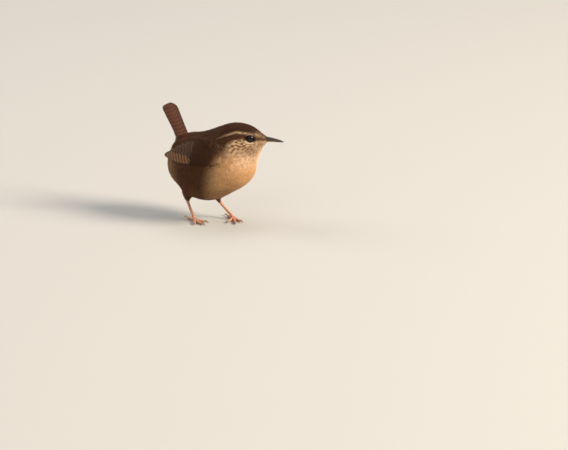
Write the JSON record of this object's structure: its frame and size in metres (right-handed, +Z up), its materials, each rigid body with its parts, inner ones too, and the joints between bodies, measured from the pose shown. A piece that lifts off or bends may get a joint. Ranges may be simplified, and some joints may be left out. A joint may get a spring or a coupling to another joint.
{
  "type": "wren model",
  "caption": "Life-size still model of a wren standing with its tail cocked and its head a little to the left, on its own toes.",
  "frame": {"origin": "the floor under the middle of the model's box", "axes": "+X the way the body faces, +Y the bird's left, +Z up"},
  "size_m": [0.0766, 0.0372, 0.0669],
  "materials": {
    "body_feathers": "soft matt plumage, dark warm brown above and buff below",
    "wing_feathers": "matt barred flight feathers",
    "tail_feathers": "matt rufous tail feathers with narrow dark bars",
    "bill_dark": "smooth dark horn",
    "bill_pale": "smooth paler horn",
    "eye": "wet, near black brown",
    "leg_skin": "scaled flesh-pink skin with a dull shine",
    "claw": "pale horn"
  },
  "bodies": {
    "root": {"head": "body_feathers", "neck": "body_feathers", "torso": "body_feathers", "tail": "tail_feathers", "bill_upper": "bill_dark", "bill_lower": "bill_pale", "eye_left": "eye", "wing_left": "wing_feathers", "thigh_left": "body_feathers", "shank_left": "leg_skin", "foot_left": "leg_skin", "claw_left_hind": "claw", "claw_left_inner": "claw", "claw_left_middle": "claw", "claw_left_outer": "claw", "eye_right": "eye", "wing_right": "wing_feathers", "thigh_right": "body_feathers", "shank_right": "leg_skin", "foot_right": "leg_skin", "claw_right_hind": "claw", "claw_right_inner": "claw", "claw_right_middle": "claw", "claw_right_outer": "claw"}
  },
  "joints": []
}
